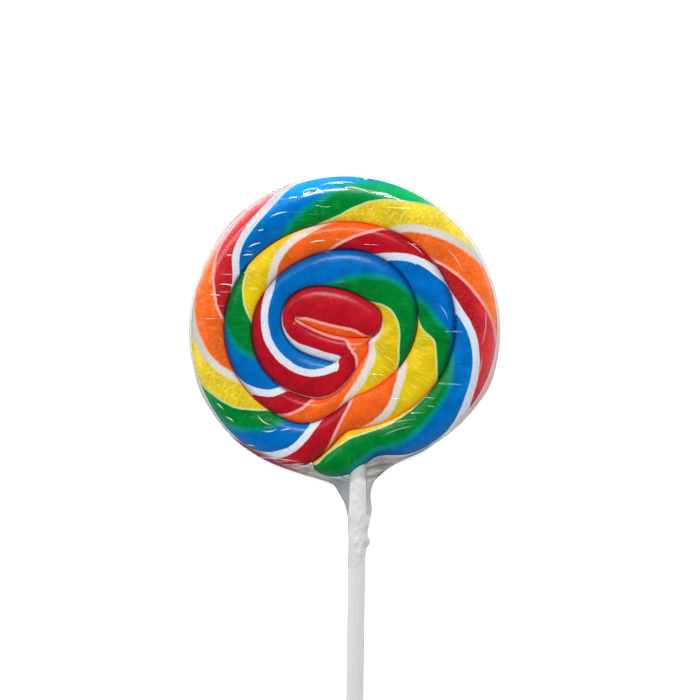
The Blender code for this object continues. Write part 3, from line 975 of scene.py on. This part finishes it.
# What the film does to the light that comes through it.
CLEAR_TINT = (0.975, 0.978, 0.976)
LINE_TINTS = (0.72, 0.70, 0.665), (0.46, 0.45, 0.43)  # pale and dark lines that run to the neck
LOW_TINTS = (0.54, 0.55, 0.56), (0.62, 0.63, 0.63)  # just above the neck, left and right
LOW_FROM = (-39.0 * MM, -35.5 * MM)
PAINTED_RED_LIGHT_TINT = (0.49, 0.235, 0.275)  # painted red light from the sugar, where it shows in the loose film
PAINTED_RED_LIGHT_PLACE = (-17.0 * MM, -10.5 * MM)  # all of it left of the first, none right of the second
OVER_STICK_TINT = (0.95, 0.95, 0.94)
# The band beside the candy: plain, and with painted red light from the sugar at the red side and at the pink
# side.
HELD_OFF_TINTS = (0.75, 0.755, 0.735), (0.66, 0.59, 0.6), (0.77, 0.7, 0.71)
BUNCHED_TINT = (0.49, 0.49, 0.5)  # the neck beside the stick
RIM_TINTS = (0.92, 0.92, 0.91), (0.88, 0.82, 0.83)  # the outline: plain, and with painted red light at the red side
RIM_WIDTH = 1.4  # how far in from it the film is darker, in mm
TURNED_TINT = (0.5, 0.5, 0.5)  # where the film is seen edge on

# What it does to the light that falls on it.
FILM_IOR = 1.45
FILM_ROUGHNESS = 0.07
GLOSS_LIMIT = 0.12  # the most of it that is mirrored
MILK_COLOURS = (0.92, 0.91, 0.92), (0.73, 0.735, 0.735)  # round the rim and in the painted highlights, and in the neck
HAZE = 0.02  # how milky the film is where it turns away, all round: part haze of the film, part painted reflection of the bright surroundings
SIDE_HAZE = ((312.0, 0.8, 0.4), (56.0, 0.84, 0.26), (100.0, 0.9, 0.14))  # and how much more there
GLINT = 0.22  # how bright the small painted glints are
CREASE_LINE = (0.04, 0.2)  # half the width of a crease's light line, in mm
# how bright the painted highlight along a crease is
CREASE_LIGHT = 0.62


class FilmPattern:
    """Where a point of the film is, and the noises that its looks share."""

    def __init__(self, shader):
        self.shader = shader
        self.place = shader.object_place()
        self.x, self.y, z = shader.split(self.place)
        self.facing = shader.node("LayerWeight", {}, "Facing")
        self.aside = abs(self.x - (self.y * STICK_LEAN + stick_x(0.0)))
        off_stick = shader.math("MINIMUM", self.aside * (1.0 / STICK_RADIUS), 1.3)
        self.beside = off_stick.ease(0.9, 1.02)
        self.below = self.y.ease(*LOOSE_BELOW, 1.0, 0.0)
        neck_top = off_stick * off_stick * (0.7 * MM) + self.beside * NECK_SIDE_DROP + self.y
        self.neck = neck_top.ease(NECK_LEVEL - 1.4 * MM, NECK_LEVEL + 0.2 * MM, 1.0, 0.0)
        self.patches = shader.noise(self.place, 60.0, 1.0).ease(0.5, 0.62)
        self.waves = shader.noise(self.place, 150.0, 1.5, 0.45)

    def towards(self, turn, low):
        """1 at the part of the rim in one direction, clockwise from +Y, and 0 far from it."""
        direction = heading(turn) / RIM_RADIUS
        return (self.x * direction.x + self.y * direction.y).ease(low, 1.0)


def film_tint(shader, at):
    """How much light of each colour the film lets through, with painted red light from the sugar in places.
    """
    flow = shader.place(at.x * 0.14, at.aside * -0.24 + at.y)
    lines = shader.noise(flow, 900.0, 3.0, 0.6).ease(0.38, 0.62)
    low_tint = shader.mix(at.x.ease(STICK_TOP_X - 4.0 * MM, STICK_TOP_X), *LOW_TINTS)
    loose = shader.mix(lines, *LINE_TINTS)
    loose = shader.mix(at.y.ease(*LOW_FROM, 1.0, 0.0), loose, low_tint)
    # Painted red light from the sugar in the loose film at the lower left.
    loose = shader.mix(at.x.ease(*PAINTED_RED_LIGHT_PLACE, 1.0, 0.0) * at.below, loose, PAINTED_RED_LIGHT_TINT)
    loose = shader.mix(at.below * at.beside, OVER_STICK_TINT, loose)
    plain, red, pink = HELD_OFF_TINTS
    # Painted red light from the sugar in the band beside the red stripes.
    held_off = shader.mix(at.towards(*PINK_SIDE), shader.mix(at.towards(*RED_SIDE), plain, red), pink)
    loose = shader.mix(at.below, held_off, loose)
    loose = shader.mix(at.neck, loose, shader.mix(at.beside, CLEAR_TINT, BUNCHED_TINT))
    tint = shader.mix(shader.attribute("hang"), CLEAR_TINT, loose)
    outline = shader.attribute("edge_mm").ease(0.0, RIM_WIDTH, 1.0, 0.0)
    # Painted red light at the outline beside the red stripe.
    rim_tint = shader.mix(at.towards(*RED_SIDE), *RIM_TINTS)
    tint = shader.mix(outline, tint, shader.multiply(tint, rim_tint))
    return shader.mix(at.facing.ease(0.86, 1.0, 0.0, 0.5), tint, TURNED_TINT)


def film_milk_and_highlights(shader, at):
    """How milky the film is round the rim, part haze and part painted reflection, and in the neck; and its
    painted highlights in small glints and along its creases.
    """
    haze = HAZE
    for turn, low, share in SIDE_HAZE:
        haze = at.towards(turn, low) * share + haze
    streaks = shader.noise(at.place, 420.0).ease(0.35, 0.65, 0.75, 1.1)
    # Rim haze: part the film's own milkiness, part painted reflection of the bright surroundings.
    rim = at.facing.ease(0.16, 0.8) * haze * streaks
    bunched = at.neck * at.waves.ease(0.3, 0.7, 0.4, 0.62)
    # Painted highlights: small white glints, mostly on the left.
    glint_place = shader.stretch(at.place, (150.0, 1500.0, 150.0), -8.0)
    glints = shader.noise(glint_place, 1.0, 1.0).ease(0.66, 0.78, 0.0, GLINT)
    glints = glints * at.patches * at.x.ease(-8.0 * MM, 4.0 * MM, 0.8, 0.0)
    # Painted highlights: white lines along the creases, brighter on the left.
    creases = abs(shader.attribute("crease_mm")).ease(*CREASE_LINE, CREASE_LIGHT, 0.0)
    creases = creases * shader.attribute("crease_strength")
    creases = creases * at.towards(*LIT_SIDE).ease(0.1, 0.9, 0.4, 1.0)
    milk_and_highlights = rim
    for more in (bunched, glints, creases):
        milk_and_highlights = shader.math("MAXIMUM", milk_and_highlights, more)
    return milk_and_highlights


def film_material():
    """Thin clear film: see-through and glossy, hazy where it turns away, partly painted reflection, and where
    it is gathered, with painted highlights in small glints and along creases.
    """
    shader = Shader(bpy.data.materials.new("clear_film"))
    at = FilmPattern(shader)
    ridge_noise = shader.noise(shader.stretch(at.place, (70.0, 230.0, 130.0), -12.0), 1.0, 1.0)
    ridges = abs(ridge_noise - 0.5).ease(0.0, 0.045, 1.0, 0.0) * at.patches
    normal = shader.bump(at.waves * 1.6 + ridges * 0.5, 0.12 * MM)
    clear = shader.node("BsdfTransparent", {"Color": film_tint(shader, at)})
    gloss = shader.node("BsdfGlossy", {"Roughness": FILM_ROUGHNESS, "Normal": normal})
    fresnel = shader.node("Fresnel", {"IOR": FILM_IOR, "Normal": normal})
    skin = shader.node("MixShader", {0: shader.math("MINIMUM", fresnel, GLOSS_LIMIT), 1: clear, 2: gloss})
    milk_and_highlights = shader.node("BsdfDiffuse", {"Color": shader.mix(at.neck, *MILK_COLOURS), "Normal": normal})
    film = shader.node("MixShader", {0: film_milk_and_highlights(shader, at), 1: skin, 2: milk_and_highlights})
    shader.tree.nodes.remove(shader.tree.nodes["Principled BSDF"])
    shader.fill(shader.tree.nodes["Material Output"], {"Surface": film})
    return shader.owner


def make_film(candy):
    return add_piece("film_wrapper", film_mesh(candy), film_material(), "wrapper")


# ---- Stage ----

TENT_REFLECTION = 0.15  # how much of the tent's light shows in reflections
TENT_TOP = (0.45, 0.85)  # the tent darkens from the first share of the way up to the second
FLOOR_GLOW = 0.6  # the table stays white round the candy
FLOOR_REACH = 1.5
FLOOR_WHITES = (0.955, 0.965)
CAMERA_PLACE = (1.37 * MM, -4.99 * MM, MID_HEIGHT + 0.8)
CAMERA_LENS = 165.8

# Each lamp: where it is, its two sides, its power, and whether it shows in reflections.
LAMPS = {
    "overhead": ((-0.08, 0.32, 0.85), (0.4, 0.4), 5.4, False),
    "strip": ((0.02, 0.42, 0.56), (0.26, 0.11), 2.2, True),
    "panel": ((-0.42, 0.36, 0.55), (0.34, 0.34), 1.1, True),
}


def add_lamp(name, place, sides, power, in_reflections):
    """A lamp with a flat rectangular face that is turned to the candy."""
    light = bpy.data.lights.new(name, "AREA")
    light.shape = "RECTANGLE"
    light.size, light.size_y = sides
    light.energy = power
    lamp = add_object(name, light)
    lamp.location = place
    lamp.rotation_euler = (-Vector(place)).to_track_quat("-Z", "Y").to_euler()
    lamp.visible_glossy = in_reflections


def make_world():
    """A bright tent round the table, darker overhead and dimmer in reflections."""
    world = bpy.data.worlds.new("studio")
    bpy.context.scene.world = world
    shader = Shader(world)
    x, y, z = shader.split(shader.node("TexCoord", {}, "Generated"))
    mirrored = shader.node("LightPath", {}, "Is Glossy Ray")
    shader.fill(shader.tree.nodes["Background"], {
        "Color": z.ease(*TENT_TOP, 1.0, 0.02),
        "Strength": mirrored * (TENT_REFLECTION - 1.0) + 1.0,
    })


def make_floor():
    """A light table with a faint grain, which shows in no reflection."""
    data = bpy.data.meshes.new("floor")
    corners = [(-1, -1), (1, -1), (1, 1), (-1, 1)]
    points = [(x * FLOOR_REACH, y * FLOOR_REACH, FLOOR_LEVEL) for x, y in corners]
    data.from_pydata(points, [], [(0, 1, 2, 3)])
    floor = add_object("floor", data)
    floor.visible_glossy = False
    shader = Shader(bpy.data.materials.new("floor_white"))
    grain = shader.noise(shader.object_place(), 60.0).ease(0.3, 0.7, *FLOOR_WHITES)
    shader.fill(shader.tree.nodes["Principled BSDF"], {
        "Base Color": shader.multiply(1.0, grain),
        "Roughness": 0.9,
        "Specular IOR Level": 0.0,
        "Emission Color": colour(1.0),
        "Emission Strength": FLOOR_GLOW,
    })
    data.materials.append(shader.owner)


def make_camera():
    """Looks straight down on the face, as if the lollipop stood upright before it."""
    camera = add_object("camera", bpy.data.cameras.new("camera"))
    camera.data.lens = CAMERA_LENS
    camera.data.sensor_width = 36.0
    camera.location = CAMERA_PLACE
    bpy.context.scene.camera = camera


def make_stage():
    make_world()
    make_floor()
    for name, settings in LAMPS.items():
        add_lamp(name, *settings)
    make_camera()
    bpy.context.scene.view_settings.view_transform = "Standard"
    bpy.context.scene.view_settings.look = "None"


make_film(make_candy())
make_stick()
make_stage()
